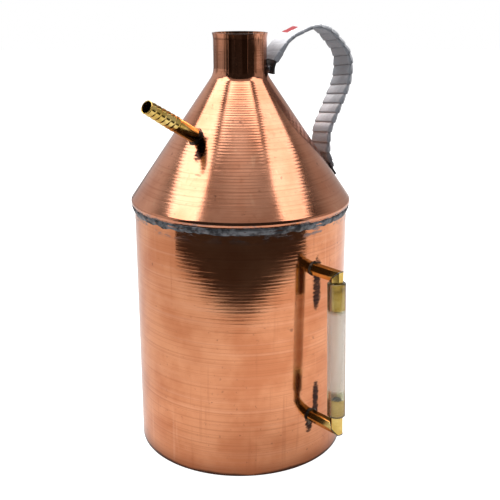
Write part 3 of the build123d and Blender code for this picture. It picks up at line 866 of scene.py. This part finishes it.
def tape():
    """Cloth tape wound round the strap in overlapping turns, each one puffed up between its creases.
    It starts doubled at the neck and lies flatter there."""
    step = 0.25
    corners = [part_way(NECK_BEND, BENDS[0][0], 2.6)] + [c for c, _ in BENDS]
    corners += [part_way(BENDS[-1][0], beside_cone(151.0), 8.0)]
    path = rounded_path(corners, [r for _, r in BENDS], step)
    length = (len(path) - 1) * step
    outline, normals = rounded_bar(WRAP_WIDTH - 2 * PUFF, WRAP_THICK - 2 * PUFF, 0.85, 112)
    across, through = outline[:, 0], outline[:, 1]
    share = 0.5 + across / WRAP_WIDTH
    lead = np.where(through > 0, 0.50 * share, 1.0 - 0.50 * share)
    left = np.array([0.99, 0.96, 0.91, 0.84, 0.75, 0.64, 0.52, 0.40, 0.28, 0.18, 0.10, 0.05, 0.02, 0])
    within = 1 - left
    puff = PUFF * np.minimum(1, left / 0.06) ** 0.6 * (1 - left ** 3.2)
    steps = np.arange(len(path)) * step
    centre_line = np.concatenate([path, -path_normals(path)], 1)
    rings = []
    for turn in range(-2, int(length / TAPE_PITCH) + 2):
        for v, lift in zip(within, puff):
            where = np.clip((turn + v + lead) * TAPE_PITCH, 0, length)
            x, z, nx, nz = (np.interp(where, steps, values) for values in centre_line.T)
            end = smooth_step(where, 0, 2.0) * smooth_step(-where, -length, -length + 2.0)
            doubled = 1 + 0.55 * (1 - smooth_step(where, 4.0, 11.0))
            end = end * (0.30 + 0.70 * smooth_step(where, 22.0, 46.0))
            t = through * doubled + normals[:, 1] * lift * end
            y = across + normals[:, 0] * lift * end
            rings.append(np.stack([x + nx * t, y, z + nz * t], 1))
    rings = np.array(rings)
    side = np.sign(rings[..., 1]) * smooth_step(np.abs(rings[..., 1]), 6.0, 9.0)
    rings[..., 1] += side * (0.10 * lumps(rings, 3.0, 21.0) + 0.10 * lumps(rings, 9.0, 5.0))
    stand_for(ring_piece("tape_wrap", rings, TAPE, sharp=70), "cloth_tape", "handle_wrap")


def blob(name, centre, size, seed, material, turn=0.0):
    """A rounded lump of solder, leaned about Y by an angle."""
    polar = np.linspace(0.12, math.pi - 0.12, 28)
    profile = np.stack([np.sin(polar), -np.cos(polar)], 1)
    rings = around(profile, 48)
    rings *= (1 + 0.22 * lumps(rings, 0.55, seed) + 0.08 * lumps(rings, 0.2, seed))[..., None]
    rings = rings * np.array(size)
    lean = np.array([[math.cos(turn), 0, math.sin(turn)], [0, 1, 0], [-math.sin(turn), 0, math.cos(turn)]])
    return ring_piece(name, rings @ lean.T + np.array(centre), material, sharp=80)


def handle_joints():
    for number, y in enumerate((-5.6, 5.6)):
        piece = blob(f"neck_joint_{number + 1}", (13.9, y, 207.0), (1.3, 1.9, 2.1), 3.0 + number, SOLDER)
        stand_for(piece, "solder", "handle_upper_solder")
    low = beside_cone(148.6)
    lean = math.pi / 2 - CONE_SLOPE
    for number, (y, width) in enumerate(((-5.5, 2.6), (0.5, 4.2), (6.0, 2.4))):
        centre = (low[0] - 0.9 - 0.008 * y * y, y, low[1] - 0.4)
        piece = blob(f"cone_joint_{number + 1}", centre, (0.9, width, 1.7), 8.0 + number, DARK_SOLDER, -lean)
        stand_for(piece, "dark_solder", "handle_lower_solder")


# ---- stage: floor, light and camera, turned with the picture's heading ----

def staged(x, y, z):
    """A place given to the right of, beyond and above the object, as the picture sees it, in metres."""
    c, s = math.cos(PHOTO_HEADING), math.sin(PHOTO_HEADING)
    return Vector((x * c - y * s, x * s + y * c, z))


def sheet_of(name, corners, material):
    """A flat face of the stage from its corners, in metres."""
    mesh = bpy.data.meshes.new(name)
    mesh.from_pydata([tuple(c) for c in corners], [], [list(range(len(corners)))])
    mesh.materials.append(material)
    piece = bpy.data.objects.new(name, mesh)
    bpy.context.scene.collection.objects.link(piece)
    return piece


def reflection_only(piece):
    """Hides a card from everything but reflections."""
    piece.visible_camera = False
    piece.visible_diffuse = False
    piece.visible_shadow = False
    piece.visible_transmission = False


def floor_and_cards():
    """A pale floor, and dark cards in front that only the polished metal sees."""
    side = 3.0
    white, tree, shader = new_material("floor_white", (0.56, 0.56, 0.56), Roughness=0.8)
    seen = add(tree, "LightPath").outputs["Is Camera Ray"]
    shader.inputs["Emission Color"].default_value = (1, 1, 1, 1)
    glow = ranged(tree, along(tree, place_of(tree), staged(1, 0, 0)), -0.35, 0.25, 0.02, 0.32)
    tree.links.new(maths(tree, "MAXIMUM", glow, seen), shader.inputs["Emission Strength"])
    corners = [staged(x, y, -0.0002) for x, y in ((-side, -side), (side, -side), (side, side), (-side, side))]
    sheet_of("floor", corners, white)
    black, _, _ = new_material("card_black", (0.02, 0.018, 0.016), Roughness=0.8)
    # The card's corners, as distances to the right of the object and towards the camera. Its near
    # edge makes the lower outline of the dark reflection in the cylinder.
    edge = [(-0.418, 0.160), (-0.252, 0.262), (-0.154, 0.286), (0, 0.290),
            (0.154, 0.292), (0.252, 0.268), (0.418, 0.160)]
    far = [(2.3, 0.93), (1.2, 2.4), (-1.2, 2.4), (-2.3, 0.93)]
    outline = [staged(x, -y, 0.0006) for x, y in edge + far]
    reflection_only(sheet_of("dark_floor_card", outline, black))
    # The wall stands round the front and is highest in the middle, where the neck's foot sees it.
    spread = [math.radians(a) for a in range(-64, 65, 16)]
    reach, end_height, arch = 1.6, 1.15, 0.75
    foot = [(reach * math.sin(t), -reach * math.cos(t)) for t in spread]
    top = [end_height + arch * math.cos(1.4 * t) for t in spread]
    for number in range(len(spread) - 1):
        a, b = number, number + 1
        wall = [staged(*foot[a], 0), staged(*foot[b], 0), staged(*foot[b], top[b]), staged(*foot[a], top[a])]
        reflection_only(sheet_of(f"dark_wall_card_{number + 1}", wall, black))


def softbox(name, bearing, rise, reach, width, height, radiance):
    """A rectangular light aimed at the cone, in metres and degrees. bearing is counted to the right
    from the camera's side, and rise from level."""
    light = bpy.data.lights.new(name, "AREA")
    light.shape = "RECTANGLE"
    light.size, light.size_y = width, height
    light.energy = radiance * math.pi * width * height
    lamp = bpy.data.objects.new(name, light)
    bpy.context.scene.collection.objects.link(lamp)
    b, e = math.radians(bearing), math.radians(rise)
    middle_of_cone = Vector((0, 0, 0.17))
    away = staged(reach * math.sin(b) * math.cos(e), -reach * math.cos(b) * math.cos(e), reach * math.sin(e))
    lamp.location = middle_of_cone + away
    lamp.rotation_euler = away.to_track_quat("Z", "Y").to_euler()
    lamp.visible_camera = False


def lights():
    """Soft boxes, and a world that is white to the camera and a graded studio to everything else."""
    softbox("left_box", -85, 43, 1.1, 0.88, 0.40, 3.0)
    softbox("right_box", 82, 44, 1.1, 0.84, 0.36, 2.1)
    softbox("front_strip", 0, 67.6, 1.1, 1.10, 0.20, 1.9)
    softbox("top_box", 0, 84, 1.5, 1.3, 0.9, 2.0)
    softbox("back_box", -165, 68, 1.2, 0.8, 0.5, 11.0)
    world = bpy.data.worlds.new("studio")
    bpy.context.scene.world = world
    world.use_nodes = True
    tree = world.node_tree
    tree.nodes.clear()
    seen = add(tree, "Background", {"Color": (1, 1, 1, 1), "Strength": 1.0})
    felt = add(tree, "Background", {"Color": (1, 1, 1, 1)})
    towards = add(tree, "TexCoord").outputs["Generated"]
    rise = part_of(tree, towards, "Z")
    sides = ranged(tree, along(tree, towards, staged(1, 0, 0)), -0.7, 0.7, 0.60, 0.42)
    ceiling = ranged(tree, rise, 0.80, 0.90, 0.28, 1.0)
    in_front = ranged(tree, along(tree, towards, staged(0, -1, 0)), 0.15, 0.45)
    ceiling = plus(tree, times(tree, ceiling, in_front), 0.08)
    low_down = ranged(tree, rise, 0.35, 0.60, 1.0, 0.0)
    strength = add(tree, "Mix", {}, {0: low_down, 2: ceiling, 3: sides}, data_type="FLOAT").outputs[0]
    tree.links.new(strength, felt.inputs["Strength"])
    path = add(tree, "LightPath")
    both = add(tree, "MixShader", links={0: path.outputs["Is Camera Ray"],
                                         1: felt.outputs[0], 2: seen.outputs[0]})
    add(tree, "OutputWorld", links={"Surface": both.outputs[0]})


def camera():
    data = bpy.data.cameras.new("camera")
    data.lens = CAMERA_LENS
    data.sensor_width = CAMERA_SENSOR
    eye = bpy.data.objects.new("camera", data)
    bpy.context.scene.collection.objects.link(eye)
    eye.location = staged(0, -CAMERA_BACK, CAMERA_UP)
    eye.rotation_euler = (math.pi / 2 - CAMERA_DIP, 0, PHOTO_HEADING + CAMERA_TURN)
    bpy.context.scene.camera = eye
    bpy.context.scene.view_settings.view_transform = "Standard"


# ---- build ----

camera()
floor_and_cards()
lights()
body_wall()
cone_and_neck()
solder_seams()
hose_nozzle()
nozzle_collar()
water_gauge()
sight_tube()
strap()
tape()
handle_joints()

# The bottom plate is the one CAD node that stays visible.
frame["nodes"]["bottom_plate"].material_slots[0].material = COPPER_BODY
